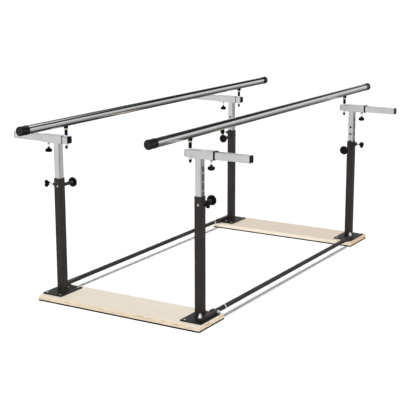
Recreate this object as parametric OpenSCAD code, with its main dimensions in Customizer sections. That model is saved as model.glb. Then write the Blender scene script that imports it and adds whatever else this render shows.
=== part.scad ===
// Folding walking parallel bars, in millimetres.
// X runs across the walkway with the right side at +X, Y runs along it with the near end at -Y,
// and Z is up from the floor. The origin is on the floor in the middle.
// A corner module is drawn for the right far corner: +X points outward and +Y to the end.

/* [Overall] */
// Length of each handrail over its end caps
rail_length = 2133.6; // [1500:0.1:3000]
// Distance between the posts along the walkway
bay_length = 1527.2; // [1200:0.1:2400]
// Distance between the posts across the walkway
post_spread = 716; // [600:1:900]
// Distance between the rail axes at the widest setting
rail_spread = 626.2; // [450:0.1:800]
// Height of the post tops above the floor
post_top = 540.5; // [400:0.5:700]
// Height of the sleeve and cross arm axis above the floor at rest
arm_height = 713; // [660:0.5:850]

/* [Base boards] */
// Length of a base board across the walkway
board_length = 826.4; // [760:0.1:1000]
// Width of a base board along the walkway
board_width = 202; // [180:1:300]
// Thickness of a base board
board_thick = 19; // [15:0.5:25]
// Bevel along the top edges of a base board
board_bevel = 1.5; // [0.5:0.1:3]
// Thickness of the rubber mat under a board
mat_thick = 6; // [3:0.5:10]
// How far the mat stands out past the board all round
mat_lip = 0.8; // [0:0.1:3]

/* [Posts] */
// Outer width of the square post and sleeve tube
post_size = 35; // [30:0.5:40]
// Wall of the square post and sleeve tube
post_wall = 2; // [1.5:0.1:3]
// Outer corner radius of the square tubes
tube_corner = 3.5; // [2.5:0.1:6]
// Width of the base plate across the walkway
plate_width = 101.6; // [80:0.1:140]
// Length of the base plate along the walkway
plate_length = 152.4; // [120:0.1:200]
// Thickness of the base plate
plate_thick = 6; // [4:0.5:10]
// Distance of the plate screws from the plate edges
screw_inset = 14; // [9:0.5:20]

/* [Masts] */
// Outer width of the square mast and arm tube
mast_size = 30; // [25:0.5:34]
// Wall of the square mast and arm tube
mast_wall = 2; // [1.5:0.1:3]
// Spacing of the height holes
hole_pitch = 36.5; // [25:0.5:50]
// Number of height holes
hole_count = 10; // [5:1:14]
// Diameter of the height holes
hole_d = 11; // [9:0.5:14]
// Height holes above the pull pin at rest
holes_above = 3; // [1:1:5]
// Length of the sleeve across the walkway
sleeve_length = 107; // [80:1:140]
// Distance of the sleeve's inner end from the mast axis
sleeve_inner = 31; // [20:1:50]

/* [Cross arms] */
// Length of a cross arm over its end plugs
arm_length = 300; // [240:1:400]
// Thickness of the head of an arm end plug
plug_head = 3; // [2:0.5:6]
// Depth of the outer arm plug inside the tube
plug_depth = 16; // [8:1:30]
// Depth of the inner arm plug inside the tube, short of the swivel bolt
inner_plug_depth = 8; // [5:1:10]
// Distance of the swivel bolt from the inner end of the arm
bolt_inset = 19.1; // [17:0.1:30]
// Distance of the arm clamp outward of the mast axis
arm_clamp_out = 53; // [40:1:64]

/* [Rails] */
// Outer diameter of the handrail tube
rail_d = 38.1; // [32:0.1:50]
// Wall of the handrail tube
rail_wall = 2; // [1.5:0.1:3]
// Outer diameter of the rubber end cap
cap_d = 40; // [39:0.1:56]
// Length of the rubber end cap
cap_length = 46; // [30:1:70]
// Diameter of the swivel bolt
bolt_d = 8; // [6:0.5:12]
// Thickness of the pale collar on the arm
collar_thick = 5; // [3:0.5:8]
// Diameter of the pale collar on the arm
collar_d = 20; // [16:0.5:28]
// Diameter of the black spacer tube
spacer_d = 14; // [11:0.1:20]
// Length of the black spacer tube
spacer_length = 24; // [15:0.5:40]
// Thickness of the bright ring between the spacer tube and the saddle
ring_nut_thick = 6; // [4:0.5:10]
// Diameter of the bright ring between the spacer tube and the saddle
ring_nut_d = 17; // [14:0.5:24]
// Diameter of the round saddle under the rail
saddle_d = 21; // [16:0.5:30]
// Height of the saddle below the rail
saddle_base = 8.3; // [5:0.1:20]

/* [Knobs] */
// Distance of the near clamp axes below the post tops
clamp_drop_near = 31; // [20:0.5:60]
// Distance of the far clamp axes below the post tops
clamp_drop_far = 14.5; // [14:0.5:60]
// Length of the conical clamp boss on the posts
boss_length = 16.5; // [6:0.5:24]
// Bare stud between boss and knob on the near left post
stud_gap_near = 20.5; // [4:0.5:30]
// Bare stud between boss and knob on the far posts
stud_gap_far = 10.5; // [4:0.5:30]
// Distance between post and knob on the near right post, where the boss is cut short
stud_gap_short = 4; // [3:0.5:30]
// Diameter over the three lobes of a star knob
star_d = 34; // [24:0.5:44]
// Depth of a post star knob along its axis
star_depth = 20; // [14:0.5:40]
// Distance of the pull pin axis below the post top
pin_drop = 35; // [20:0.5:80]
// Outer diameter of the pull pin barrel
barrel_d = 15.5; // [13:0.5:20]
// Length of the pull pin barrel
barrel_length = 62; // [40:1:80]
// Diameter of the round pull knob
pull_d = 43.5; // [30:0.5:60]
// Thickness of the round pull knob
pull_thick = 10; // [7:0.5:16]
// Travel of the pull pin
pin_travel = 7; // [4:0.5:12]

/* [Floor links] */
// Distance of the link pivots outward of the post axis
pivot_out = 32; // [25:0.5:40]
// Distance of the link pivots from the post axis along the walkway
pivot_along = 54; // [40:0.5:60]
// Diameter of the round link tube
link_d = 20; // [16:0.5:26]
// Width of the flat bar at the link ends
bar_width = 20; // [16:0.5:26]
// Thickness of the flat bar at the link ends
bar_thick = 14; // [8:0.5:18]
// Length of the long bar from its pivot
long_bar = 141.6; // [120:0.1:200]
// Length of the short bar from its pivot
short_bar = 109.6; // [100:0.1:150]
// Length of the solid knuckle between the long bar and the tube
knuckle = 54; // [30:1:80]
// Height of the dome nut over a pivot bolt
dome_height = 20; // [14:0.5:30]

/* [Fits] */
// Gap under moving faces that slide over each other
slide_gap = 0.3; // [0.2:0.05:0.8]
// Clearance between pieces that are fixed over or in one another
seat_gap = 0.1; // [0.05:0.01:0.2]
// Radial clearance of a bolt in the part that turns on it
turn_gap = 0.1; // [0.05:0.01:0.3]
// Radial clearance of a bolt in an open hole
open_gap = 0.5; // [0.3:0.05:1]

/* [Hidden] */
$fn = 96;

post_x = post_spread / 2;
post_y = bay_length / 2;
rail_x = rail_spread / 2;
board_low = mat_thick;
board_top = board_low + board_thick;
plate_top = board_top + plate_thick;
bore_size = post_size - 2 * post_wall;
post_face = post_size / 2;

// Overlap of two shapes that make one piece
join = 0.5;
// How far a cut runs past the face that it leaves
overcut = 1;

// Sleeve, arm and rail heights
sleeve_low = arm_height - post_size / 2;
arm_low = arm_height - mast_size / 2;
arm_top = arm_height + mast_size / 2;
collar_low = arm_top + slide_gap;
spacer_low = arm_top + collar_thick;
ring_nut_low = spacer_low + spacer_length;
saddle_low = ring_nut_low + ring_nut_thick;
rail_low = saddle_low + saddle_base;
rail_height = rail_low + rail_d / 2;
arm_inner = rail_x - bolt_inset;

// Rail end cap
cap_floor = 4;
cap_edge = 2;
cap_rim = 5;
cap_dish = 1.2;

// Parts of the swivel bolt below the arm
cup_d = 27;
cup_thick = 4;
swivel_nut_d = 14;
swivel_nut_thick = 8;
swivel_tip_d = 9.5;
swivel_tip_low = arm_low - 26;
bolt_end = 3;

// Pull pin
pin_height = post_top - pin_drop;
pin_d = 8;
pin_lead = 2;
pin_chamber_d = 12;
pin_nose_wall = 18;
pin_shoulder = 4;
barrel_cap = 5;
pin_tip_in = post_wall - join;
mast_low = pin_height - (hole_count - holes_above) * hole_pitch;
pull_edge = 2.5;
pull_rim = 6;
pull_dish = 1.5;
pull_socket = 4.2;

// Clamps
boss_base_d = 28;
boss_tip_d = 11;
boss_short = stud_gap_short - overcut;
stud_d = 7;
stud_socket = 10;
clamp_hub_d = 13;
arm_nut_d = 13;
arm_nut_thick = 8;
arm_star_drop = 24.5;
arm_star_depth = 20;
arm_star_d = 30;

// Plate screws; the one beside a pivot moves away from its corner
screw_d = 4.5;
screw_head_d = 10;
screw_head_thick = 4;
screw_length = 22;
screw_shift_across = 30.2;
screw_shift_along = 16;

// Links
link_height = plate_top + slide_gap + bar_thick / 2;
bar_top = link_height + bar_thick / 2;
pivot_head_d = 15;
pivot_head_thick = 5;
dome_d = 14;
dome_tip_d = 6.4;
dome_skirt = 4;
dome_bore = 10.5;
tube_wall = 2;
ring_d = 23;
ring_length = 12;
spigot_length = 28;
spigot_d = link_d - 2 * tube_wall - 2 * seat_gap;
lug_thick = 5;
lug_length = 30;
lug_shift = 12;
lug_gap = 0.3;
lug_rise = 3;
link_length = bay_length;

black = [0.09, 0.085, 0.08];
chrome = [0.78, 0.79, 0.8];
steel = [0.62, 0.63, 0.64];
pale = [0.82, 0.8, 0.74];
plywood = [0.86, 0.76, 0.6];
rubber = [0.06, 0.06, 0.06];

// Turns the right far drawing into the corner on side sx and end sy
module quadrant(sx, sy) {
  if (sx > 0 && sy > 0) children();
  if (sx < 0 && sy > 0) mirror([1, 0, 0]) children();
  if (sx > 0 && sy < 0) mirror([0, 1, 0]) children();
  if (sx < 0 && sy < 0) rotate([0, 0, 180]) children();
}

// Moves the origin to the post axis on the floor
module at_post() {
  translate([post_x, post_y, 0]) children();
}

// Lays the Z axis along +X
module along_x() {
  rotate([0, 90, 0]) children();
}

// Lays the Z axis along -Y, toward the middle of the walkway
module along_middle() {
  rotate([90, 0, 0]) children();
}

// Outline of a square bar with round corners
module rounded_square(size, corner) {
  square([size, size - 2 * corner], center = true);
  square([size - 2 * corner, size], center = true);
  for (x = [-1, 1], y = [-1, 1])
    translate([x * (size / 2 - corner), y * (size / 2 - corner)]) circle(r = corner);
}

// Square tube standing on z = 0
module square_tube(size, wall, length) {
  linear_extrude(length) difference() {
    rounded_square(size, tube_corner);
    rounded_square(size - 2 * wall, tube_corner - wall);
  }
}

// Three-lobed knob standing on z = 0 with its narrow hub down
module star_knob(over, depth, hub_d) {
  lobe_d = over * 0.4;
  lobe_at = (over - lobe_d) / 2;
  web = lobe_d * 0.6;
  edge = lobe_d / 6;
  neck = depth * 0.25;
  shoulder = depth * 0.55;
  cylinder(d = hub_d, h = neck + join);
  intersection() {
    translate([0, 0, neck]) linear_extrude(depth - neck) {
      circle(d = hub_d + 1);
      for (turn = [0, 120, 240]) rotate(turn) {
        translate([lobe_at, 0]) circle(d = lobe_d);
        translate([0, -web / 2]) square([lobe_at, web]);
      }
    }
    rotate_extrude() polygon([
      [0, 0], [hub_d / 2, neck], [over / 2, shoulder], [over / 2, depth - edge],
      [over / 2 - edge, depth], [0, depth]
    ]);
  }
}

// Positions of the plate screws about the post axis; the outer end corner gives way to a pivot
module at_screws(pivot_end) {
  across = plate_width / 2 - screw_inset;
  along = plate_length / 2 - screw_inset;
  translate([-across, along]) children();
  translate([-across, -along]) children();
  translate([across - screw_shift_across, screw_shift_along - along]) children();
  if (pivot_end < 0) translate([across, along]) children();
}

// Moves the origin to a link pivot; pivot_end is 1 on the end side and -1 on the middle side
module at_pivot(pivot_end) {
  translate([pivot_out, pivot_end * pivot_along, 0]) children();
}

// Countersunk screw, or with slack the hole for it
module screw_shape(slack) {
  translate([0, 0, plate_top - screw_length])
    cylinder(d = screw_d + 2 * slack, h = screw_length - screw_head_thick / 2);
  translate([0, 0, plate_top - screw_head_thick])
    cylinder(d1 = screw_d + 2 * slack, d2 = screw_head_d + 2 * slack, h = screw_head_thick);
}

// Hole for a pivot bolt through board and plate, with room for its head in the board
module pivot_holes(slack) {
  translate([0, 0, board_low]) {
    cylinder(d = bolt_d + 2 * slack, h = board_thick + plate_thick);
    translate([0, 0, board_thick - pivot_head_thick])
      cylinder(d = pivot_head_d + 2 * slack, h = pivot_head_thick);
  }
}

// Holes in one end of the base for its screws and pivot bolts; sy is the end
module base_cuts(sy) {
  for (sx = [-1, 1]) quadrant(sx, sy) at_post() {
    at_screws(-sx * sy) screw_shape(turn_gap);
    at_pivot(-sx * sy) pivot_holes(turn_gap);
  }
}

// Board outline seen along one of its edges, with the top corners bevelled
module board_profile(width) {
  polygon([
    [-width / 2, 0], [width / 2, 0], [width / 2, board_thick - board_bevel],
    [width / 2 - board_bevel, board_thick], [board_bevel - width / 2, board_thick],
    [-width / 2, board_thick - board_bevel]
  ]);
}

module board(sy) {
  color(plywood) difference() {
    translate([0, sy * post_y, board_low]) intersection() {
      rotate([90, 0, 0]) linear_extrude(board_width, center = true)
        board_profile(board_length);
      rotate([90, 0, 90]) linear_extrude(board_length, center = true)
        board_profile(board_width);
    }
    base_cuts(sy);
  }
}

module mat(sy) {
  color(rubber)
    translate([-board_length / 2 - mat_lip, sy * post_y - board_width / 2 - mat_lip, 0])
      cube([board_length + 2 * mat_lip, board_width + 2 * mat_lip, mat_thick]);
}

module plate_screws(sy) {
  color(steel) for (sx = [-1, 1]) quadrant(sx, sy) at_post()
    at_screws(-sx * sy) screw_shape(0);
}

// Bolt that rises through board and plate, with a tall dome nut on top
module pivot_bolts(sy) {
  color(chrome) for (sx = [-1, 1]) quadrant(sx, sy) at_post() at_pivot(-sx * sy) {
    pivot_bolt();
    dome_nut();
  }
}

module pivot_bolt() {
  translate([0, 0, board_top - pivot_head_thick])
    cylinder(d = pivot_head_d, h = pivot_head_thick);
  translate([0, 0, board_top - join])
    cylinder(d = bolt_d, h = bar_top + dome_bore - board_top);
}

module dome_nut() {
  translate([0, 0, bar_top + slide_gap]) difference() {
    rotate_extrude() polygon([
      [0, 0], [dome_d / 2, 0], [dome_d / 2, dome_skirt], [dome_d / 2 - 1, dome_skirt + 2],
      [dome_tip_d / 2, dome_height - 3], [dome_tip_d / 3, dome_height - 1], [0, dome_height]
    ]);
    translate([0, 0, -overcut]) cylinder(d = bolt_d + 2 * turn_gap, h = dome_bore + overcut);
  }
}

// Height of the clamp axis on end sy
function clamp_height(sy) = post_top - (sy < 0 ? clamp_drop_near : clamp_drop_far);

// True for the near right post, the one with the short clamp boss
function short_boss(sx, sy) = sx > 0 && sy < 0;

// Post with base plate, clamp boss and pull pin barrel, welded into one piece
module upright(sx, sy) {
  pivot_end = -sx * sy;
  color(black) quadrant(sx, sy) at_post() difference() {
    union() {
      translate([0, 0, plate_top - join])
        square_tube(post_size, post_wall, post_top - plate_top + join);
      translate([-plate_width / 2, -plate_length / 2, board_top])
        cube([plate_width, plate_length, plate_thick]);
      translate([post_face - join, 0, clamp_height(sy)]) along_x()
        clamp_boss((short_boss(sx, sy) ? boss_short : boss_length) + join);
      translate([0, join - post_face, pin_height]) along_middle()
        cylinder(d = barrel_d, h = barrel_length + join);
      if (pivot_end > 0) stop_lug();
    }
    translate([0, 0, clamp_height(sy)]) along_x() cylinder(d = stud_d + 1, h = post_size * 2);
    translate([0, 0, pin_height]) pin_bore();
    translate([0, post_face - post_wall / 2, pin_height]) along_middle()
      cylinder(d = hole_d, h = post_wall * 2, center = true);
    translate([0, 0, plate_top])
      linear_extrude(post_top) rounded_square(bore_size, tube_corner - post_wall);
    at_screws(pivot_end) screw_shape(turn_gap);
    at_pivot(pivot_end) pivot_holes(turn_gap);
  }
}

// Cone of the given length; the short one is the root of the full cone
module clamp_boss(length) {
  taper = (boss_base_d - boss_tip_d) / (boss_length + join);
  cylinder(d1 = boss_base_d, d2 = boss_base_d - taper * length, h = length);
}

// Stop beside the long bar that holds the straight position
module stop_lug() {
  translate([
    pivot_out - bar_width / 2 - lug_gap - lug_thick,
    pivot_along - long_bar + lug_shift, plate_top - overcut
  ]) cube([lug_thick, lug_length, bar_thick + lug_rise + overcut]);
}

// Bore of the barrel: a narrow nose guide, the spring chamber and the cap hole
module pin_bore() {
  translate([0, post_wall + overcut - post_face, 0]) along_middle()
    cylinder(d = pin_d + 2 * turn_gap, h = barrel_length + 2 * post_wall + overcut);
  translate([0, -post_face - pin_nose_wall, 0]) along_middle()
    cylinder(d = pin_chamber_d, h = barrel_length - pin_nose_wall - barrel_cap);
}

// Mast with the sleeve welded across its top and the arm clamp nut under the sleeve
module mast(sx, sy) {
  color(chrome) quadrant(sx, sy) at_post() difference() {
    union() {
      translate([0, 0, mast_low])
        square_tube(mast_size, mast_wall, sleeve_low - mast_low + join);
      translate([-sleeve_inner, 0, arm_height]) along_x()
        square_tube(post_size, post_wall, sleeve_length);
      translate([arm_clamp_out, 0, sleeve_low - arm_nut_thick])
        cylinder(d = arm_nut_d, h = arm_nut_thick + join);
    }
    translate([-sleeve_inner, 0, arm_height]) along_x()
      linear_extrude(sleeve_length) rounded_square(bore_size, tube_corner - post_wall);
    for (i = [0 : hole_count - 1])
      translate([0, 0, pin_height + (holes_above - i) * hole_pitch]) mast_hole();
    translate([arm_clamp_out, 0, sleeve_low - arm_nut_thick - overcut])
      cylinder(d = stud_d + 1, h = arm_nut_thick + post_wall + 2 * overcut);
  }
}

// Hole for the pull pin in the wall that faces the middle of the walkway
module mast_hole() {
  translate([0, (mast_wall - mast_size) / 2, 0]) along_middle()
    cylinder(d = hole_d, h = mast_wall * 2, center = true);
}

// Cross arm; the bolt holes of the far arms are wider to take up the length of the rail
module arm(sx, sy) {
  slack = sy < 0 ? turn_gap : open_gap;
  color(chrome) quadrant(sx, sy) translate([0, post_y, arm_height]) difference() {
    translate([arm_inner + plug_head, 0, 0]) along_x()
      square_tube(mast_size, mast_wall, arm_length - 2 * plug_head);
    translate([rail_x, 0, 0]) cylinder(d = bolt_d + 2 * slack, h = mast_size * 2, center = true);
  }
}

module arm_plugs(sx, sy) {
  color(rubber) quadrant(sx, sy) translate([0, post_y, arm_height]) {
    translate([arm_inner, 0, 0]) along_x() arm_plug(inner_plug_depth);
    translate([arm_inner + arm_length, 0, 0]) rotate([0, -90, 0]) arm_plug(plug_depth);
  }
}

// End plug with its head on z = 0 and its stem inside the tube
module arm_plug(depth) {
  linear_extrude(plug_head) rounded_square(mast_size, tube_corner);
  translate([0, 0, plug_head - join]) linear_extrude(depth + join)
    rounded_square(mast_size - 2 * mast_wall - 2 * seat_gap, tube_corner - mast_wall);
}

// Draws its children at the near and the far swivel of the rail on side sx
module at_swivels(sx) {
  for (sy = [-1, 1]) translate([sx * rail_x, sy * post_y, 0]) children();
}

// Handrail tube with a bolt hole in its underside at each swivel
module rail(sx) {
  core = rail_length - 2 * cap_floor - 2 * seat_gap;
  color(steel) difference() {
    translate([sx * rail_x, core / 2, rail_height]) along_middle() difference() {
      cylinder(d = rail_d, h = core);
      translate([0, 0, -overcut])
        cylinder(d = rail_d - 2 * rail_wall, h = core + 2 * overcut);
    }
    at_swivels(sx) translate([0, 0, rail_low - overcut])
      cylinder(d = bolt_d + 2 * turn_gap, h = 2 * rail_wall + overcut);
  }
}

// Rubber cup pushed over the rail end, standing on its dished closed end
module rail_cap() {
  bore = rail_d / 2 + seat_gap;
  rotate_extrude() polygon([
    [0, cap_dish], [cap_d / 2 - cap_rim, cap_dish], [cap_d / 2 - cap_rim + cap_dish, 0],
    [cap_d / 2 - cap_edge, 0], [cap_d / 2, cap_edge], [cap_d / 2, cap_length],
    [bore, cap_length], [bore, cap_floor], [0, cap_floor]
  ]);
}

module rail_caps(sx) {
  color(rubber) for (end = [-1, 1])
    translate([sx * rail_x, end * rail_length / 2, rail_height])
      rotate([end * 90, 0, 0]) rail_cap();
}

// Round block under the rail, hollowed to fit it
module saddles(sx) {
  color(rubber) at_swivels(sx) difference() {
    translate([0, 0, saddle_low]) cylinder(d = saddle_d, h = saddle_base + rail_wall);
    translate([0, 0, rail_height]) rotate([90, 0, 0])
      cylinder(d = rail_d + 2 * seat_gap, h = saddle_d * 2, center = true);
    translate([0, 0, saddle_low - overcut])
      cylinder(d = bolt_d + 2 * turn_gap, h = saddle_base * 2);
  }
}

// Pale collar on the arm and black tube above it
module spacers(sx) {
  at_swivels(sx) {
    color(pale) bored_disc(collar_low, collar_thick - slide_gap, collar_d, collar_d);
    color(rubber)
      bored_disc(spacer_low + seat_gap, spacer_length - 2 * seat_gap, spacer_d, spacer_d);
  }
}

// Round piece from height low, bored for the swivel bolt
module bored_disc(low, thick, d1, d2, sides = $fn) {
  translate([0, 0, low]) difference() {
    cylinder(d1 = d1, d2 = d2, h = thick, $fn = sides);
    translate([0, 0, -overcut])
      cylinder(d = bolt_d + 2 * turn_gap, h = thick + 2 * overcut);
  }
}

// Bolt up into the rail, with a ring under the saddle and cup washer, nut and end cap under the arm
module swivel_bolts(sx) {
  cup_low = arm_low - slide_gap - cup_thick;
  nut_low = cup_low - seat_gap - swivel_nut_thick;
  color(chrome) at_swivels(sx) {
    bored_disc(ring_nut_low, ring_nut_thick - seat_gap, ring_nut_d, ring_nut_d);
    bored_disc(cup_low, cup_thick, cup_d - 5, cup_d);
    bored_disc(nut_low, swivel_nut_thick, swivel_nut_d, swivel_nut_d, 6);
    translate([0, 0, nut_low - seat_gap - bolt_end])
      cylinder(d = bolt_d, h = rail_low + rail_wall + 2 * bolt_end - nut_low);
    translate([0, 0, swivel_tip_low])
      cylinder(d1 = swivel_tip_d - 2, d2 = swivel_tip_d,
        h = nut_low - seat_gap - swivel_tip_low);
  }
}

// Plunger with its tip just short of the mast and a shoulder in the spring chamber
module pull_pin(sx, sy) {
  reach = barrel_length + pin_travel + 2 * post_wall + 1;
  color(steel) quadrant(sx, sy) at_post()
    translate([0, -post_face + pin_tip_in, pin_height]) along_middle() {
      cylinder(d1 = pin_d - pin_lead, d2 = pin_d, h = pin_lead);
      translate([0, 0, pin_lead]) cylinder(d = pin_d, h = reach - pin_lead);
      translate([0, 0, pin_nose_wall + pin_tip_in + pin_travel + 1])
        cylinder(d = pin_chamber_d - 2 * slide_gap, h = pin_shoulder);
    }
}

// Round knob pressed on the plunger, with a raised rim round its outer face
module pull_knob(sx, sy) {
  color(rubber) quadrant(sx, sy) at_post()
    translate([0, -post_face - barrel_length - pin_travel - slide_gap, pin_height])
      along_middle() difference() {
        rotate_extrude() polygon([
          [0, 0], [pull_d / 2 - pull_edge, 0], [pull_d / 2, pull_edge],
          [pull_d / 2, pull_thick - pull_edge], [pull_d / 2 - pull_edge, pull_thick],
          [pull_d / 2 - pull_rim + pull_dish, pull_thick],
          [pull_d / 2 - pull_rim, pull_thick - pull_dish], [0, pull_thick - pull_dish]
        ]);
        translate([0, 0, -overcut]) cylinder(d = pin_d, h = pull_socket + overcut);
      }
}

// Star knob on its stud, which ends just short of the mast
module mast_clamp(sx, sy) {
  bare = boss_length + (sy < 0 ? stud_gap_near : stud_gap_far);
  knob_at = post_face + (short_boss(sx, sy) ? stud_gap_short : bare);
  tip = mast_size / 2 + slide_gap;
  color(rubber) quadrant(sx, sy) at_post() translate([0, 0, clamp_height(sy)]) along_x() {
    translate([0, 0, tip]) cylinder(d = stud_d, h = knob_at - tip + stud_socket);
    translate([0, 0, knob_at]) star_knob(star_d, star_depth, clamp_hub_d);
  }
}

// Star knob on its stud, which ends just short of the cross arm
module arm_clamp(sx, sy) {
  tip = arm_low - slide_gap;
  knob_at = sleeve_low - arm_star_drop;
  color(rubber) quadrant(sx, sy) at_post() translate([arm_clamp_out, 0, 0]) {
    translate([0, 0, knob_at - stud_socket])
      cylinder(d = stud_d, h = tip - knob_at + stud_socket);
    translate([0, 0, knob_at]) rotate([180, 0, 0])
      star_knob(arm_star_d, arm_star_depth, clamp_hub_d);
  }
}

// Draws a link along +Y from its own pivot; the left link is the right one turned half round
module link_frame(sx) {
  rotate([0, 0, sx > 0 ? 0 : 180])
    translate([post_x + pivot_out, -post_y - pivot_along, link_height]) children();
}

// Flat bar from a pivot at the origin to length along +Y
module pivot_bar(length, slack) {
  translate([0, 0, -bar_thick / 2]) linear_extrude(bar_thick) difference() {
    union() {
      circle(d = bar_width);
      translate([-bar_width / 2, 0]) square([bar_width, length]);
    }
    circle(d = bolt_d + 2 * slack);
  }
}

// Pivot bars with their spigots, and the solid knuckle of the long bar
module link_ends(sx) {
  color(black) link_frame(sx) {
    pivot_bar(long_bar, turn_gap);
    link_rod(long_bar - 2 * overcut, link_d, knuckle + 2 * overcut);
    link_rod(long_bar, spigot_d, knuckle + spigot_length);
    translate([0, link_length, 0]) rotate([0, 0, 180]) {
      pivot_bar(short_bar, sx > 0 ? turn_gap : open_gap);
      link_rod(short_bar - overcut, spigot_d, spigot_length);
    }
  }
}

// Round rod along +Y from the distance start
module link_rod(start, d, length) {
  translate([0, start, 0]) rotate([-90, 0, 0]) cylinder(d = d, h = length);
}

module link_tube(sx) {
  start = long_bar + knuckle;
  color(black) link_frame(sx) difference() {
    link_rod(start, link_d, link_length - short_bar - start);
    link_rod(start - overcut, link_d - 2 * tube_wall, link_length);
  }
}

// Clamp ring over the joint between knuckle and tube
module link_clamps(sx) {
  start = long_bar + knuckle - ring_length / 2;
  color(chrome) link_frame(sx) difference() {
    link_rod(start, ring_d, ring_length);
    link_rod(start - overcut, link_d + 2 * seat_gap, ring_length + 2 * overcut);
  }
}

board(-1);  // board_near
board(1);  // board_far
mat(-1);  // mat_near
mat(1);  // mat_far
plate_screws(-1);  // plate_screws_near
plate_screws(1);  // plate_screws_far
pivot_bolts(-1);  // pivot_bolts_near
pivot_bolts(1);  // pivot_bolts_far
upright(-1, -1);  // upright_near_left
upright(1, -1);  // upright_near_right
upright(-1, 1);  // upright_far_left
upright(1, 1);  // upright_far_right
mast(-1, -1);  // mast_near_left
mast(1, -1);  // mast_near_right
mast(-1, 1);  // mast_far_left
mast(1, 1);  // mast_far_right
arm(-1, -1);  // arm_near_left
arm(1, -1);  // arm_near_right
arm(-1, 1);  // arm_far_left
arm(1, 1);  // arm_far_right
arm_plugs(-1, -1);  // arm_plugs_near_left
arm_plugs(1, -1);  // arm_plugs_near_right
arm_plugs(-1, 1);  // arm_plugs_far_left
arm_plugs(1, 1);  // arm_plugs_far_right
rail(-1);  // rail_left
rail(1);  // rail_right
rail_caps(-1);  // rail_caps_left
rail_caps(1);  // rail_caps_right
saddles(-1);  // saddles_left
saddles(1);  // saddles_right
spacers(-1);  // spacers_left
spacers(1);  // spacers_right
swivel_bolts(-1);  // swivel_bolts_left
swivel_bolts(1);  // swivel_bolts_right
pull_pin(-1, -1);  // pull_pin_near_left
pull_pin(1, -1);  // pull_pin_near_right
pull_pin(-1, 1);  // pull_pin_far_left
pull_pin(1, 1);  // pull_pin_far_right
pull_knob(-1, -1);  // pull_knob_near_left
pull_knob(1, -1);  // pull_knob_near_right
pull_knob(-1, 1);  // pull_knob_far_left
pull_knob(1, 1);  // pull_knob_far_right
mast_clamp(-1, -1);  // mast_clamp_near_left
mast_clamp(1, -1);  // mast_clamp_near_right
mast_clamp(-1, 1);  // mast_clamp_far_left
mast_clamp(1, 1);  // mast_clamp_far_right
arm_clamp(-1, -1);  // arm_clamp_near_left
arm_clamp(1, -1);  // arm_clamp_near_right
arm_clamp(-1, 1);  // arm_clamp_far_left
arm_clamp(1, 1);  // arm_clamp_far_right
link_ends(-1);  // link_ends_left
link_ends(1);  // link_ends_right
link_tube(-1);  // link_tube_left
link_tube(1);  // link_tube_right
link_clamps(-1);  // link_clamps_left
link_clamps(1);  // link_clamps_right
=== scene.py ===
"""Folding walking parallel bars: two handrails on telescoping posts over plywood base boards."""
import math

import bpy
import numpy as np
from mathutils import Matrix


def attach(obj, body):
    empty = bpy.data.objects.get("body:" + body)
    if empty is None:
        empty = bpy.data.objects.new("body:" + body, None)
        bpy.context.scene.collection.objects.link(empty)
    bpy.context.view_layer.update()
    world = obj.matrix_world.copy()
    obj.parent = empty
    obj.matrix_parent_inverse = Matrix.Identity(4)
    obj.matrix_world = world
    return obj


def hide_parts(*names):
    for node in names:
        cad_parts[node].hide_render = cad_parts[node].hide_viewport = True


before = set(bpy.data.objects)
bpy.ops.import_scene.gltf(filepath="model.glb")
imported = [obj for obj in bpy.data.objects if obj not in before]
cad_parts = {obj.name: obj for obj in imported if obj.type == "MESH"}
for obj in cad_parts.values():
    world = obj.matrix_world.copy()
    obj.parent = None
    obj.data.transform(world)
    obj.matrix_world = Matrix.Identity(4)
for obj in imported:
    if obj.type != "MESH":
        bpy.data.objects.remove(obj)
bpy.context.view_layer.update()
scene = bpy.context.scene
sides = {"left": -1, "right": 1}
ends = {"near": -1, "far": 1}
corners = [(end, side) for end in ends for side in sides]
mm = 0.001

# Camera: a long lens at a little above rail height, looking down the walkway from the near
# right corner.
lens = bpy.data.cameras.new("camera")
lens.lens = 96.65
lens.sensor_width = 36
lens.clip_end = 200
camera = bpy.data.objects.new("camera", lens)
camera.location = (2.5383, -4.3729, 1.4845)
camera.rotation_euler = [math.radians(turn) for turn in (90 - 12.828, 0.127, 31.102)]
scene.collection.objects.link(camera)
scene.camera = camera


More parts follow.
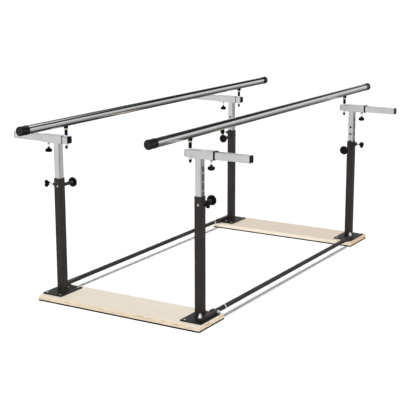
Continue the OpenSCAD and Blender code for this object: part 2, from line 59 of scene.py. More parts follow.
# Studio: a white floor that runs out of sight and a soft lamp overhead. The polished tubes
# reflect pale walls, a dark ceiling with a bright cloth in its middle, and one dark corner.
class Wire:
    """A shader socket. Arithmetic on it adds Math nodes, and node() adds any other kind."""

    def __init__(self, tree, socket=None):
        self.tree, self.socket = tree, socket

    def node(self, kind, settings=(), out=0, **inputs):
        """Adds a node: its settings first, then each input by name, or by number as i0."""
        made = self.tree.nodes.new("ShaderNode" + kind)
        for name, value in dict(settings).items():
            if name == "stops":
                ramp = made.color_ramp.elements
                while len(ramp) < len(value):
                    ramp.new(1.0)
                for element, (place, colour) in zip(ramp, value):
                    element.position, element.color = place, (*colour, 1.0)
            else:
                setattr(made, name, value)
        for name, value in inputs.items():
            numbered = name[0] == "i" and name[1:].isdigit()
            socket = made.inputs[int(name[1:]) if numbered else name.replace("_", " ")]
            if isinstance(value, Wire):
                self.tree.links.new(value.socket, socket)
            else:
                socket.default_value = value
        return Wire(self.tree, made.outputs[out])

    def sum(self, operation, a, b=0.0, c=0.0):
        return self.node("Math", {"operation": operation}, i0=a, i1=b, i2=c)

    def blend(self, a, b):
        """The colour a where this is 0 and the colour b where it is 1."""
        return self.node("Mix", {"data_type": "RGBA"}, out=2, i0=self, i6=a, i7=b)

    def noise(self, scale, detail=3.0, stretch=(1.0, 1.0, 1.0), **more):
        """Noise over this place, which is first stretched."""
        there = self.node("Mapping", i0=self, Scale=stretch)
        return self.node("TexNoise", i0=there, Scale=scale, Detail=detail, **more)

    def parts(self):
        """The x, y and z of this vector."""
        return [self.node("SeparateXYZ", out=axis, i0=self) for axis in range(3)]

    def __add__(self, other):
        return self.sum("ADD", self, other)

    def __sub__(self, other):
        return self.sum("SUBTRACT", self, other)

    def __rsub__(self, other):
        return self.sum("SUBTRACT", other, self)

    def __mul__(self, other):
        return self.sum("MULTIPLY", self, other)

    def step(self, low, high):
        """0 below low, 1 above high and a smooth rise between them."""
        return self.node("MapRange", {"interpolation_type": "SMOOTHSTEP"}, i0=self, i1=low, i2=high)

    __radd__ = __add__
    __rmul__ = __mul__


def grey(value, warmth=0.0):
    """A grey, with some blue taken out of it for warmth."""
    return (value, value * (1 - 0.4 * warmth), value * (1 - warmth), 1)


def finish(name, **constants):
    """A material, the place on its piece, and a function that links a Wire to its shader."""
    material = bpy.data.materials.new(name)
    material.use_nodes = True
    tree = material.node_tree
    shader = tree.nodes["Principled BSDF"]
    for socket, value in constants.items():
        shader.inputs[socket.replace("_", " ")].default_value = value

    def feed(wire, socket):
        tree.links.new(wire.socket, shader.inputs[socket])

    return material, Wire(tree).node("TexCoord", out=3), feed


def wear(nodes, material):
    """Gives CAD nodes their material."""
    for name in nodes:
        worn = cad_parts[name].data.materials
        worn.clear()
        worn.append(material)


floor_mesh = bpy.data.meshes.new("floor")
floor_mesh.from_pydata([(-60, -60, 0), (60, -60, 0), (60, 60, 0), (-60, 60, 0)], [], [(0, 1, 2, 3)])
floor = bpy.data.objects.new("floor", floor_mesh)
floor.visible_glossy = False
scene.collection.objects.link(floor)
paper, place, feed = finish("white floor", Roughness=0.9, Specular_IOR_Level=0.1)
feed(place.noise(3.0).blend(grey(0.93), grey(0.95)), "Base Color")
floor_mesh.materials.append(paper)

world = bpy.data.worlds.new("studio")
scene.world = world
world.use_nodes = True
wire = Wire(world.node_tree)
right, away, up = wire.node("TexCoord", out=0).parts()
lower_wall = up.step(-0.6, 0.05).blend(grey(0.05), grey(0.5))
right_wall = (0.82 * right - 0.57 * away).step(-0.07, 0.09)
lower_wall = right_wall.blend(lower_wall, grey(0.62))
front_wall = (-0.5 * right - 0.86 * away).step(-0.4, 0.5)
wall = up.step(-0.03, 0.03).blend(lower_wall, grey(0.78))
wall = front_wall.blend(wall, grey(0.82))
dark_side = (0.9 * right - 0.45 * away).step(0.70, 0.88) * (1.0 - up.step(-0.08, 0.04))
wall = dark_side.blend(wall, grey(0.03))
sky = up.step(0.30, 0.40).blend(wall, grey(0.02))
in_tubes = wire.node("LightPath", out=3)
sky = (up.step(0.58, 0.66) * in_tubes).blend(sky, grey(1.0))
seen = wire.node("LightPath").blend(sky, grey(1.0))
world.node_tree.links.new(seen.socket, world.node_tree.nodes["Background"].inputs["Color"])
world.node_tree.nodes["Background"].inputs["Strength"].default_value = 1.0


def sunlight(name, lean, turn, strength, spread):
    """A broad soft light over the whole floor, leaning from overhead by lean towards turn."""
    lamp = bpy.data.lights.new(name, "SUN")
    lamp.energy, lamp.angle = strength, math.radians(spread)
    stand = bpy.data.objects.new(name, lamp)
    stand.rotation_euler = (math.radians(lean), 0, math.radians(turn))
    stand.visible_glossy = False
    scene.collection.objects.link(stand)
    return stand


# Only what lies low throws a shadow, so the floor stays white under the rails.
overhead = sunlight("overhead", 3, -100, 3.25, 36)
low_parts = bpy.data.collections.new("shadow casters")
for name in ("board_near", "board_far", "link_ends_left", "link_ends_right", "link_tube_left",
             "link_tube_right"):
    low_parts.objects.link(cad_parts[name])
overhead.light_linking.blocker_collection = low_parts
sunlight("front", 80, 42, 0.95, 40).light_linking.blocker_collection = low_parts

# Base boards: two planks of birch plywood with a clear coat, their plies showing on the edges.
# The far one is a little darker on top, pale along its long edges and orange at its ends.
birch, place, feed = finish("clear coated birch plywood", Specular_IOR_Level=0.35)
top_face = place.node("TexCoord", out=1).parts()[2].step(0.4, 0.7)
level = place.parts()[2]
grain = place.noise(9.0, 6.0, (0.9, 14.0, 14.0), Roughness=0.6, Distortion=0.6)
fibre = place.noise(22.0, 4.0, (1.2, 60.0, 60.0))
figure = place.noise(2.2, 3.0, (0.6, 5.0, 5.0), Distortion=1.2)
veneer = grain.step(0.35, 0.75).blend((0.70, 0.635, 0.54, 1), (0.65, 0.575, 0.47, 1))
veneer = (figure.step(0.45, 0.7) * 0.35).blend(veneer, (0.62, 0.55, 0.46, 1))
veneer = (fibre.step(0.55, 0.8) * 0.3).blend(veneer, (0.57, 0.485, 0.39, 1))
ply_thick = 0.0027
ply = level.sum("PINGPONG", level - 0.006, ply_thick) * (1 / ply_thick)
streak = place.noise(6.0, 5.0, (5.0, 5.0, 260.0), Roughness=0.65)
burn = place.noise(3.0, 4.0, (7.0, 7.0, 62.0), Roughness=0.7)
edge = ply.step(0.35, 0.65).blend((0.90, 0.80, 0.64, 1), (0.76, 0.60, 0.42, 1))
edge = (streak.step(0.48, 0.66) * 0.6).blend(edge, (0.70, 0.46, 0.26, 1))
edge = (burn.step(0.53, 0.63) * 0.75).blend(edge, (0.46, 0.26, 0.12, 1))
# Painted highlight: a paler band along the top and bottom of each edge, where the rounded corners
# catch the light.
off_middle = place.sum("ABSOLUTE", level - 15.5 * mm)
edge = (off_middle.step(6.6 * mm, 8 * mm) * 0.7).blend(edge, (0.93, 0.85, 0.72, 1))
far_board = place.parts()[1].step(-0.2, 0.2)
end_face = place.sum("ABSOLUTE", place.parts()[0]).step(411 * mm, 413 * mm)
edge = (far_board * (1.0 - end_face) * 0.8).blend(edge, (0.97, 0.88, 0.74, 1))
edge = (far_board * end_face * 0.6).blend(edge, (0.72, 0.44, 0.24, 1))
veneer = (far_board * 0.6).blend(veneer, (0.57, 0.47, 0.38, 1))
feed(top_face.blend(edge, veneer), "Base Color")
feed(0.46 + 0.2 * grain - 0.08 * top_face, "Roughness")
feed(place.node("Bump", Strength=0.25, Distance=0.0006, Height=grain + 0.5 * fibre + ply * 0.4),
     "Normal")
wear([f"board_{end}" for end in ends], birch)

# Mats: thin sheets of black rubber that keep the boards from sliding, a little dusty.
mat_rubber, place, feed = finish("black rubber mat", Specular_IOR_Level=0.05)
pores = place.noise(900.0)
dust = place.noise(25.0, 4.0)
feed(dust.step(0.4, 0.8).blend(grey(0.002), grey(0.006, 0.1)), "Base Color")
feed(0.7 + 0.2 * pores, "Roughness")
feed(place.node("Bump", Strength=0.4, Distance=0.0004, Height=pores), "Normal")
wear([f"mat_{end}" for end in ends], mat_rubber)

# Posts: square steel tube welded to a base plate, with a boss for the clamp stud and a barrel
# for the pull pin, powder coated in satin black. The weld beads show under the coat.
post_x, post_y, post_half = 358 * mm, 763.6 * mm, 17.5 * mm
plate_top, pin_height = 31 * mm, 505.5 * mm
clamp_height = {"near": 509.5 * mm, "far": 526 * mm}
coat, place, feed = finish("satin black powder coat", Specular_IOR_Level=0.25)
peel = place.noise(420.0, 2.0)
cloud = place.noise(14.0, 4.0)
scuff = place.noise(55.0, 6.0, (1.0, 1.0, 0.25), Roughness=0.7).step(0.62, 0.78)
black = cloud.step(0.35, 0.75).blend((0.021, 0.017, 0.0155, 1), (0.031, 0.025, 0.023, 1))
black = (scuff * 0.35).blend(black, grey(0.05, 0.1))
on_plate = 1.0 - place.parts()[2].step(31.2 * mm, 32.5 * mm)
feed(on_plate.blend(black, grey(0.009, 0.1)), "Base Color")
feed(0.32 + 0.14 * cloud + 0.15 * scuff + 0.06 * on_plate, "Roughness")
feed(place.node("Bump", Strength=0.18, Distance=0.0004, Height=peel), "Normal")
wear([f"upright_{end}_{side}" for end, side in corners], coat)


def skin(rings, loop=False):
    """Points and faces of a surface through closed rings of points. Quads join each ring to
    the next; a loop joins the last ring to the first, and otherwise a fan closes each end."""
    rows, around = rings.shape[:2]
    index = np.arange(rows * around).reshape(rows, around)
    here = index if loop else index[:-1]
    above = np.roll(index, -1, axis=0) if loop else index[1:]
    quads = np.stack([here, np.roll(here, -1, 1), np.roll(above, -1, 1), above], -1)
    quads = quads.reshape(-1, 4).tolist()
    points = rings.reshape(-1, 3)
    if loop:
        return points, quads
    low, high = np.full(around, rows * around), np.full(around, rows * around + 1)
    fans = np.vstack([np.stack([low, np.roll(index[0], -1), index[0]], -1),
                      np.stack([high, index[-1], np.roll(index[-1], -1)], -1)]).tolist()
    return np.vstack([points, rings[0].mean(0), rings[-1].mean(0)]), quads + fans


def carried(name, skins, material, body, slot, *nodes):
    """One piece made of several skins, with its body and the CAD nodes it stands for. The slot
    argument is not used.
    """
    points, faces = [], []
    for spots, polygons in skins:
        start = sum(len(block) for block in points)
        points.append(spots)
        faces += [[start + spot for spot in face] for face in polygons]
    mesh = bpy.data.meshes.new(name)
    mesh.from_pydata(np.vstack(points).tolist(), [], faces)
    mesh.materials.append(material)
    mesh.shade_smooth()
    mesh.set_sharp_from_angle(angle=math.radians(38))
    made = bpy.data.objects.new(name, mesh)
    scene.collection.objects.link(made)
    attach(made, body)
    if nodes:
        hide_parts(*nodes)


def spokes(axis, around):
    """Angles round an axis, and the unit vector across the axis at each of them."""
    angle = np.linspace(0, 2 * np.pi, around, endpoint=False)
    axis = np.asarray(axis, float)
    first = np.roll(np.abs(axis), 1)
    second = np.cross(axis, first)
    return angle, np.cos(angle)[:, None] * first + np.sin(angle)[:, None] * second


def squarish(power):
    """Outline of a square with round corners: the radius at an angle is one over the
    power-mean length of its cosine and sine, so a higher power gives a sharper corner."""
    return lambda angle: (np.abs(np.cos(angle)) ** power
                          + np.abs(np.sin(angle)) ** power) ** (-1 / power)


def bead(centre, axis, radius, thick, outline=np.ones_like, around=144):
    """Weld bead: a circle of radius thick, with ripples, carried round an outline."""
    angle, spoke = spokes(axis, around)
    reach = radius * outline(angle)
    turn = np.linspace(0, 2 * np.pi, 10, endpoint=False)
    size = thick * (1 + 0.10 * np.sin(angle * around / 6) + 0.08 * np.sin(3 * angle + radius * 900))
    out = (reach + size * np.cos(turn)[:, None])[..., None] * spoke
    lift = (size * np.sin(turn)[:, None])[..., None] * np.asarray(axis, float)
    return skin(np.asarray(centre) + out + lift, loop=True)


post_corner, mast_corner = squarish(11.5), squarish(9.8)
for end, side in corners:
    x, y = sides[side] * post_x, ends[end] * post_y
    face_x, face_y = x + sides[side] * post_half, y - ends[end] * post_half
    carried(f"post_welds_{end}_{side}", [
        bead((x, y, plate_top), (0, 0, 1), post_half + 0.4 * mm, 2.6 * mm, post_corner, 288),
        bead((face_x, y, clamp_height[end]), (sides[side], 0, 0), 14 * mm, 1.3 * mm),
        bead((x, face_y, pin_height), (0, -ends[end], 0), 7.9 * mm, 1.5 * mm),
    ], coat, f"{end}_base", "black_paint")

# Masts and cross arms: square steel tube, polished and chromed, with fine draw lines along it.
# The inside of the tube, behind the pin holes, is rough and painted near black as painted shade.
chrome, place, feed = finish("chromed tube", Metallic=1.0)
across, along, level = place.parts()
from_mast = place.sum("ABSOLUTE", place.sum("ABSOLUTE", across) - post_x)
from_post = place.sum("ABSOLUTE", place.sum("ABSOLUTE", along) - post_y)
from_arm = place.sum("ABSOLUTE", level - 713 * mm)
upright_hollow = place.sum("LESS_THAN", place.sum("MAXIMUM", from_mast, from_post), 13.4 * mm)
upright_hollow = upright_hollow * place.sum("LESS_THAN", level, 695 * mm)
arm_hollow = place.sum("LESS_THAN", place.sum("MAXIMUM", from_arm, from_post), 13.4 * mm)
shaded_inside = place.sum("MAXIMUM", upright_hollow, arm_hollow)
haze = place.noise(18.0, 5.0)
lines = place.noise(1.0, 3.0, (900.0, 900.0, 6.0))
prints = place.noise(60.0, 6.0, Roughness=0.7).step(0.55, 0.8)
# Painted shade: the inside of each tube is painted near black.
feed(shaded_inside.blend(haze.step(0.3, 0.8).blend(grey(0.74), grey(0.66)), grey(0.02)), "Base Color")
feed(0.13 + 0.08 * haze + 0.05 * lines + 0.06 * prints + 0.6 * shaded_inside, "Roughness")
feed(place.node("Bump", Strength=0.05, Distance=0.0002, Height=lines), "Normal")
wear([f"{part}_{end}_{side}" for part in ("mast", "arm") for end, side in corners], chrome)

# Height scales: a dark printed strip stuck down the outer face of each mast, with a light mark
# at each pin hole.
printed, place, feed = finish("printed height scale", Roughness=0.35)
across, along, level = place.parts()
pitch, top_mark = 36.5 * mm, 636.6 * mm
off_mark = place.sum("PINGPONG", level - top_mark, pitch / 2)
off_middle = place.sum("ABSOLUTE", place.sum("ABSOLUTE", along) - post_y)
mark = (1.0 - off_mark.step(1.6 * mm, 2.0 * mm)) * (1.0 - off_middle.step(3.6 * mm, 4.0 * mm))
ink = place.noise(300.0, 4.0).step(0.3, 0.8).blend(grey(0.030), grey(0.055))
feed(mark.blend(ink, grey(0.85)), "Base Color")
for end, side in corners:
    strip = np.stack([np.linspace(285 * mm, 665 * mm, 3), np.ones(3)], -1)
    angle, spoke = spokes((0, 0, 1), 32)
    rings = strip[:, 1, None, None] * squarish(24)(angle)[:, None] * spoke
    rings = rings * (6.5 * mm, 6.5 * mm, 0)
    rings[..., 0] *= 0.02
    rings[..., 2] = strip[:, 0, None]
    face = (sides[side] * (post_x + 15.1 * mm), ends[end] * post_y, 0)
    carried(f"height_scale_{end}_{side}", [skin(rings + face)], printed,
            f"mast_{end}_{side}_body", "black_plastic")


def soften(profile, radius, steps=5, loop=False):
    """A profile with its corners curved. Each corner becomes the curve that leaves one of its
    edges at radius from the corner and joins the other: the mean of the corner and the two
    points on the edges, weighted 2t(1-t), (1-t) squared and t squared."""
    points = np.asarray(profile, float)
    if loop:
        points = np.vstack([points[-1:], points, points[:1]])
    corner = points[1:-1]
    before, after = points[:-2] - corner, points[2:] - corner
    length = [np.linalg.norm(edge, axis=1, keepdims=True) for edge in (before, after)]
    reach = np.minimum(radius, 0.48 * np.minimum(*length))
    start, stop = corner + before / length[0] * reach, corner + after / length[1] * reach
    t = np.linspace(0, 1, steps)[:, None, None]
    curve = (1 - t) ** 2 * start + 2 * t * (1 - t) * corner + t ** 2 * stop
    curve = curve.transpose(1, 0, 2).reshape(-1, 2)
    return curve if loop else np.vstack([points[:1], curve, points[-1:]])


def spun(profile, centre, axis, outline=np.ones_like, weight=1.0, around=48, loop=False):
    """A profile of distances along an axis and radii carried round the axis. The outline
    scales the radius at each angle, and weight is its share in each row of the profile."""
    profile = np.asarray(profile, float)
    angle, spoke = spokes(axis, around)
    share = np.broadcast_to(weight, len(profile))[:, None]
    radius = profile[:, 1, None] * (1 + share * (outline(angle) - 1))
    rise = profile[:, 0, None, None] * np.asarray(axis, float)
    return skin(np.asarray(centre) + rise + radius[..., None] * spoke, loop)


# Sleeve liners: a thin rim of black nylon in each mouth of the sleeve, so that the arm doesn't rub
# its chrome off on the edge.
# On the right the outer one is a wider band round the mouth, partly liner and partly painted shade
# for the dark gap there.
nylon, place, feed = finish("black moulded nylon", Specular_IOR_Level=0.1)
grit = place.noise(1400.0, 2.0)
rub = place.noise(45.0)
feed(rub.step(0.4, 0.8).blend(grey(0.003), grey(0.008)), "Base Color")
feed(0.28 + 0.2 * rub, "Roughness")
feed(place.node("Bump", Strength=0.15, Distance=0.0002, Height=grit), "Normal")
inner_mouth, outer_mouth, arm_height = 327 * mm, 434 * mm, 713 * mm
rim = np.array([(-0.8, 15.45), (-0.8, 17.3), (0, 17.3), (0, 15.45)]) * mm
# Partly painted shade: this wider band on the right outer mouths stands partly for the dark gap at
# the mouth.
band = np.array([(-0.6, 15.45), (-0.6, 18.0), (5, 18.0), (5, 17.52), (0, 17.52), (0, 15.45)]) * mm
for end, side in corners:
    mouths = [spun(liner, (sides[side] * mouth, ends[end] * post_y, arm_height),
                   (sides[side] * inward, 0, 0), post_corner, around=96, loop=True)
              for liner, mouth, inward in ((rim, inner_mouth, 1),
                                           (band if side == "right" else rim, outer_mouth, -1))]
    carried(f"sleeve_liners_{end}_{side}", mouths, nylon, f"mast_{end}_{side}_body",
            "black_plastic")

# Arm plugs: moulded caps pressed into both ends of each cross arm, slightly domed.
plug = soften(np.array([(-8, 0.3), (-8, 12.8), (0, 12.8), (0, 15), (2.4, 15), (3, 9), (3, 0.3)]) * mm,
              0.9 * mm)
for end, side in corners:
    caps = [spun(plug, (sides[side] * x, ends[end] * post_y, arm_height),
                 (sides[side] * way, 0, 0), mast_corner, around=72)
            for x, way in ((297 * mm, -1), (591 * mm, 1))]
    carried(f"arm_caps_{end}_{side}", caps, nylon, f"arm_{end}_{side}_body", "black_plastic",
            f"arm_plugs_{end}_{side}")

# Star knobs: glossy black moulded knobs with three round lobes, each on a bright threaded stud.
# One clamps each mast through the side of its post, and one clamps each arm from below.
zinc, place, feed = finish("bright zinc plate", Metallic=0.55)
bloom = place.noise(160.0, 4.0)
feed(bloom.step(0.3, 0.75).blend((0.90, 0.93, 0.96, 1), (0.74, 0.77, 0.80, 1)), "Base Color")
feed(0.22 + 0.2 * bloom, "Roughness")


def star(over, depth, hub, centre, axis, turn):
    """Knob with three lobes. Seen along its axis, its radius is the smooth maximum of the hub
    and of the far side of three lobe circles. Along the axis the lobes swell from the hub and
    close again as a squared-off circle."""
    lobe = 0.21 * over
    reach = over / 2 - lobe

    def outline(angle):
        off = (angle - turn + np.pi / 3) % (2 * np.pi / 3) - np.pi / 3
        aside = reach * np.sin(off)
        far = reach * np.cos(off) + np.sqrt(np.maximum(lobe ** 2 - aside ** 2, 0))
        far = np.where(np.abs(aside) < lobe, far, 0)
        return (hub ** 6 + far ** 6) ** (1 / 6) / hub

    sweep = np.linspace(-np.pi / 2, np.pi / 2, 21)
    rise = np.sign(np.sin(sweep)) * np.abs(np.sin(sweep)) ** 0.75
    swell = np.abs(np.cos(sweep)) ** 0.75
    start = 0.30 * depth
    height = np.concatenate([[0, 0.4 * mm, start * 0.8], start + (rise + 1) / 2 * (depth - start),
                             [depth, depth - 0.8 * mm]])
    radius = np.concatenate([[hub * 0.75, hub * 0.85, hub * 0.95], np.full(21, hub),
                             [hub * 0.7, hub * 0.6]])
    weight = np.concatenate([[0, 0, 0], swell, [0, 0]])
    return spun(np.stack([height, radius], -1), centre, axis, outline, weight, around=120)


def thread(length, radius, pitch=1.25 * mm):
    """Profile of a threaded stud: its radius waves by 0.3 mm once every pitch."""
    height = np.linspace(0, length, int(4 * length / pitch) + 1)
    return np.stack([height, radius - 0.15 * mm + 0.15 * mm * np.cos(2 * np.pi * height / pitch)], -1)


knob_gap = {("near", "left"): 37 * mm, ("near", "right"): 4 * mm,
            ("far", "left"): 27 * mm, ("far", "right"): 27 * mm}
knob_turn = {("near", "left"): 0.0, ("near", "right"): 0.9,
             ("far", "left"): 1.2, ("far", "right"): 0.2}
arm_knob_turn = {"left": 0.0, "right": 1.05}
stud_tip, stud_socket = 15.3 * mm, 10 * mm
arm_stud_top, arm_knob_top, arm_knob_x = 697.7 * mm, 674 * mm, 411 * mm
for end, side in corners:
    out = (sides[side], 0, 0)
    axle = np.array([sides[side] * post_x, ends[end] * post_y, clamp_height[end]])
    start = post_half + knob_gap[end, side]
    body = f"mast_knob_{end}_{side}_body"
    carried(f"mast_star_{end}_{side}",
            [star(35 * mm, 22 * mm, 6.8 * mm, axle + np.multiply(out, start), out,
                  knob_turn[end, side])],
            nylon, body, "black_plastic", f"mast_clamp_{end}_{side}")
    carried(f"mast_stud_{end}_{side}",
            [spun(thread(start - stud_tip + stud_socket, 3.5 * mm),
                  axle + np.multiply(out, stud_tip), out, around=20)],
            zinc, body, "bright_steel")
    body = f"arm_knob_{end}_{side}_body"
    axle = (sides[side] * arm_knob_x, ends[end] * post_y, arm_knob_top)
    carried(f"arm_star_{end}_{side}",
            [star(33 * mm, 23 * mm, 6.5 * mm, axle, (0, 0, -1), arm_knob_turn[side])],
            nylon, body, "black_plastic", f"arm_clamp_{end}_{side}")
    low = arm_knob_top - stud_socket
    carried(f"arm_stud_{end}_{side}",
            [spun(thread(arm_stud_top - low, 3.5 * mm), (axle[0], axle[1], low), (0, 0, 1),
                  around=20)],
            zinc, body, "bright_steel")

# Pull pins: a steel plunger in each barrel, with a round moulded knob pressed on its end. The
# knob's face is dished inside a rounded rim.
dish = soften(np.array([(0, 0.3), (0, 17), (2.5, 21.75), (10, 21.75), (10, 16.5), (8.6, 15),
                        (8.6, 0.3)]) * mm, 1.8 * mm, 7)
knob_reach = 86.8 * mm
for end, side in corners:
    spot = (sides[side] * post_x, ends[end] * (post_y - knob_reach), pin_height)
    carried(f"pull_disc_{end}_{side}", [spun(dish, spot, (0, -ends[end], 0), around=72)], nylon,
            f"pin_{end}_{side}_body", "black_plastic", f"pull_knob_{end}_{side}")
wear([f"pull_pin_{end}_{side}" for end, side in corners], zinc)

# Handrails: round steel tube, polished and chromed, with very fine lines round it.
polish, place, feed = finish("polished handrail", Metallic=1.0)
haze = place.noise(9.0, 5.0)
lines = place.noise(1.0, 4.0, (300.0, 12.0, 300.0))
feed(haze.step(0.3, 0.8).blend(grey(0.78), grey(0.70)), "Base Color")
feed(0.08 + 0.05 * haze + 0.04 * lines, "Roughness")
feed(place.node("Bump", Strength=0.03, Distance=0.0002, Height=lines), "Normal")
wear([f"rail_{side}" for side in sides], polish)

# Rail end caps: deep cups of glossy black rubber pushed over the tube, with a dished end.
rail_x, rail_height, rail_end = 313.1 * mm, 790.35 * mm, 1066.8 * mm
cup = np.array([(-4, 0.3), (-4, 19.15), (-46, 19.15), (-46, 19.8), (-44.6, 20), (-38, 20),
                (-27, 19.4), (-17, 19.4), (-6, 20), (0, 20), (0, 14.5), (-2.2, 12.5), (-2.6, 5),
                (-2.4, 0.3)]) * mm
cup = np.vstack([cup[:3], soften(cup[2:], 3.2 * mm, 7)[1:]])
gloss, place, feed = finish("glossy black rubber", Specular_IOR_Level=0.22)
across, along, level = place.parts()
off_axis = place.sum("POWER", place.sum("ABSOLUTE", across) - rail_x, 2) + place.sum(
    "POWER", level - rail_height, 2)
in_dish = (1.0 - off_axis.step((12 * mm) ** 2, (15 * mm) ** 2)) * place.sum(
    "GREATER_THAN", place.sum("ABSOLUTE", along), rail_end - 3 * mm)
bloom = place.noise(70.0, 4.0)
rubber = bloom.step(0.4, 0.8).blend(grey(0.003), grey(0.007))
# Painted sheen: the dished end is painted a lighter grey for the light its flat face catches.
feed((0.7 * in_dish).blend(rubber, grey(0.024)), "Base Color")
feed(0.12 + 0.14 * bloom + 0.3 * in_dish, "Roughness")
for side in sides:
    cups = [spun(cup, (sides[side] * rail_x, ends[end] * rail_end, rail_height),
                 (0, ends[end], 0), around=72) for end in ends]
    carried(f"rail_cups_{side}", cups, gloss, f"rail_{side}_body", "cap_rubber",
            f"rail_caps_{side}")

# Swivels: a bolt holds each rail over its arm. From the top it passes a round saddle, a yellow
# zinc nut, a black spacer tube and a pale cone washer, and below the arm another cone washer,
# a hexagon nut and a black cap.
yellow, place, feed = finish("yellow zinc plate", Metallic=0.6)
bloom = place.noise(200.0, 4.0)
feed(bloom.step(0.3, 0.75).blend((0.74, 0.70, 0.60, 1), (0.56, 0.52, 0.42, 1)), "Base Color")
feed(0.26 + 0.2 * bloom, "Roughness")


def hexagon(angle):
    """Outline of a hexagon about a unit circle: one over the cosine of the angle from the
    middle of the nearest side."""
    return 1 / np.cos(angle % (np.pi / 3) - np.pi / 6)


def nut(low, high, half, centre):
    """Hexagon nut half wide from middle to side, with its corners turned off at both ends."""
    heights = np.array([low, low, low + 0.8 * mm, high - 0.8 * mm, high, high])
    radii = half * np.array([0.5, 1, 1, 1, 1, 0.5])
    return spun(np.stack([heights, radii], -1), centre, (0, 0, 1), hexagon,
                np.array([0, 0, 1, 1, 0, 0]), around=60)


def saddle(radius, low, centre):
    """Round block whose top follows the rail: its height at a point is the rail's axis less
    the side of the right triangle on the rail's radius and the distance across."""
    angle, spoke = spokes((0, 0, 1), 60)
    reach = np.array([0.4, 1, 1, 0.92, 0.6, 0.1])[:, None] * radius
    bottom = np.full(60, low)
    across = reach * np.abs(spoke[:, 0])
    top = rail_height - np.sqrt((19.1 * mm) ** 2 - across ** 2)
    height = np.stack([bottom, bottom, top[2] - 0.8 * mm, top[3], top[4], top[5]])
    reach[1] *= 0.9
    rings = reach[..., None] * spoke + np.asarray(centre)
    rings[..., 2] = height
    return skin(rings)


washer_top = soften(np.array([(728.3, 4.1), (728.3, 13), (729.8, 13), (733, 8.4), (733, 4.1)]) * mm,
                    0.6 * mm, loop=True)
washer_low = soften(np.array([(693.7, 4.1), (693.7, 9), (696.3, 13.4), (697.7, 13.4),
                              (697.7, 4.1)]) * mm, 0.6 * mm, loop=True)
tube = soften(np.array([(733.1, 4.1), (733.1, 7), (739, 7), (739.6, 6.4), (740.2, 7), (749.5, 7),
                        (750.1, 6.4), (750.7, 7), (756.9, 7), (756.9, 4.1)]) * mm,
              0.4 * mm, loop=True)
cap_nut = soften(np.array([(672, 0.3), (673.2, 4.2), (679, 5.6), (685, 7.4), (687.5, 7.4),
                           (687.5, 0.3)]) * mm, 1.4 * mm)
upward = (0, 0, 1)
for side in sides:
    spots = [(sides[side] * rail_x, ends[end] * post_y, 0) for end in ends]
    bolt = [spun([(683 * mm, 4 * mm), (775 * mm, 4 * mm)], spot, upward, around=24)
            for spot in spots]
    bolt += [spun(ring, spot, upward, loop=True) for ring in (washer_top, washer_low)
             for spot in spots]
    bolt += [nut(687.0 * mm, 693.6 * mm, 7 * mm, spot) for spot in spots]
    body = f"rail_{side}_body"
    carried(f"swivel_hardware_{side}", bolt, zinc, body, "bright_steel", f"swivel_bolts_{side}")
    carried(f"swivel_nuts_{side}", [nut(757 * mm, 762.9 * mm, 8 * mm, spot) for spot in spots],
            yellow, body, "bright_steel")
    carried(f"spacer_tubes_{side}", [spun(tube, spot, upward, loop=True) for spot in spots],
            nylon, body, "black_plastic", f"spacers_{side}")
    carried(f"swivel_caps_{side}", [spun(cap_nut, spot, upward, around=36) for spot in spots],
            nylon, body, "black_plastic")
    carried(f"saddle_blocks_{side}", [saddle(10.5 * mm, 763 * mm, spot) for spot in spots],
            nylon, body, "black_plastic", f"saddles_{side}")

# Plate screws: zinc plated countersunk screws with a cross recess, three or four to a plate.
def cross(angle):
    """Outline of a cross recess: it pinches in four times round."""
    return 0.35 + 0.65 * np.abs(np.cos(2 * angle)) ** 3


screw = np.array([(-22, 0.8), (-18.5, 2.2), (-4, 2.25), (-0.5, 4.9), (-0.05, 4.8), (0.1, 2.9),
                  (-0.1, 2.6), (-1.7, 1.7)]) * mm
recess = np.array([0, 0, 0, 0, 0, 0.6, 1, 1])
for end in ends:
    screws = []
    for side in sides:
        middle_out = -sides[side] * ends[end]
        spots = [(-36.8, 62.2), (-36.8, -62.2), (6.6, -46.2)] + [(36.8, 62.2)] * (middle_out < 0)
        screws += [spun(screw, (sides[side] * (post_x + x * mm), ends[end] * (post_y + y * mm),
                                plate_top), (0, 0, 1), cross, recess, around=56)
                   for x, y in spots]
    carried(f"screws_{end}", screws, zinc, f"{end}_base", "screw_steel", f"plate_screws_{end}")

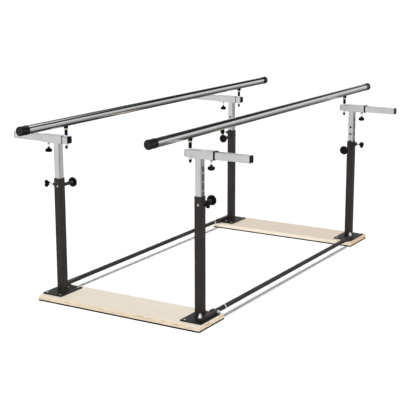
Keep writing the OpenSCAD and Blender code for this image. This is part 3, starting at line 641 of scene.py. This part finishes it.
# Link pivots: a bolt up through board and plate, under a tall polished dome nut.
dome = np.array([(0, 3), (0, 6.6), (0.8, 6.9), (7, 6.9), (7.6, 6.8), (9.5, 6.4), (12, 5.6),
                 (14.5, 4.5), (16.8, 3.3), (18.6, 2.1), (19.6, 1.1), (20, 0.2)]) * mm
shoulder = np.array([0, 0, 1, 1, 0, 0, 0, 0, 0, 0, 0, 0])
for end in ends:
    bolts = []
    for side in sides:
        along = -sides[side] * ends[end] * 54 * mm
        spot = (sides[side] * 390 * mm, ends[end] * (post_y + along), 45.6 * mm)
        bolts.append(spun(dome, spot, (0, 0, 1), hexagon, shoulder, around=60))
        bolts.append(spun(np.array([(-25.6, 7.5), (-20.6, 7.5), (-20.6, 4), (1, 4)]) * mm, spot,
                          (0, 0, 1), around=36))
    carried(f"dome_nuts_{end}", bolts, zinc, f"{end}_base", "bright_steel", f"pivot_bolts_{end}")

# Floor links: a flat bar at each end and a round tube between them, in the same black coat.
# A pale band clamp holds tube and knuckle together, and a bolt goes across the long bar.
wear([f"link_{part}_{side}" for part in ("ends", "tube") for side in sides], coat)
link_x, link_height = 390 * mm, 38.3 * mm
clamp_y, bolt_y = -622 * mm, -691 * mm
strap = soften(np.array([(-3, 10.1), (-3, 11.3), (3, 11.3), (3, 10.1)]) * mm, 0.6 * mm, loop=True)
head = np.array([(0, 3), (0, 7.2), (1, 7.2), (1.2, 6), (6.2, 6), (6.8, 5), (6.8, 3.9), (12, 3.9),
                 (12.6, 3.2), (12.6, 0.3)]) * mm
for side, way in sides.items():
    band = spun(strap, (way * link_x, way * clamp_y, link_height), (0, way, 0), loop=True)
    screw_head = spun(np.array([(11, 3), (13.4, 3), (14, 2.4), (14, 0.3)]) * mm,
                      (way * link_x, way * clamp_y, link_height), (way, 0, 0), around=24)
    bolt = spun(head, (way * (link_x + 10 * mm), way * bolt_y, link_height), (way, 0, 0), hexagon,
                np.array([0, 0, 0, 1, 1, 0, 0, 0, 0, 0]), around=48)
    body = f"link_{side}_body"
    carried(f"link_straps_{side}", [band, screw_head], zinc, body, "bright_steel",
            f"link_clamps_{side}")
    carried(f"link_bolt_{side}", [bolt], zinc, body, "bright_steel")

scene.view_settings.view_transform = "Standard"
